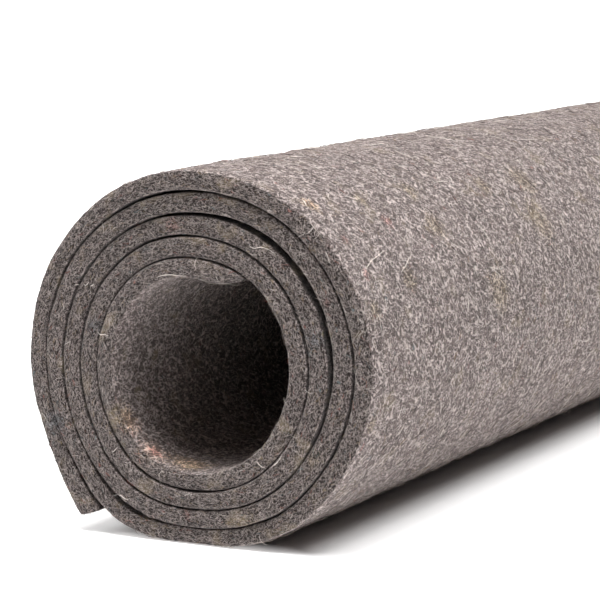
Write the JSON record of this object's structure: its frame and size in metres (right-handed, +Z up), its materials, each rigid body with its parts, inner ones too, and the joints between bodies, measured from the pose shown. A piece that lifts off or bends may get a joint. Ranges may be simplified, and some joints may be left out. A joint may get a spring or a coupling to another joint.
{
  "type": "roll of felt",
  "caption": "Thick wool felt sheet wound into an open roll with a hollow middle, lying on its side, its free edge low on the left.",
  "frame": {"origin": "middle of the bounding box's underside, on the surface the roll lies on", "axes": "+Y runs along the roll's axis from the end that the picture shows to the far end, +Z is up, and +X is to the right as the shown end is seen"},
  "size_m": [0.1018, 0.5, 0.0987],
  "materials": {
    "felt": "matte, fibrous, mottled grey-brown wool"
  },
  "bodies": {
    "root": {"felt_roll": "felt"}
  },
  "joints": []
}
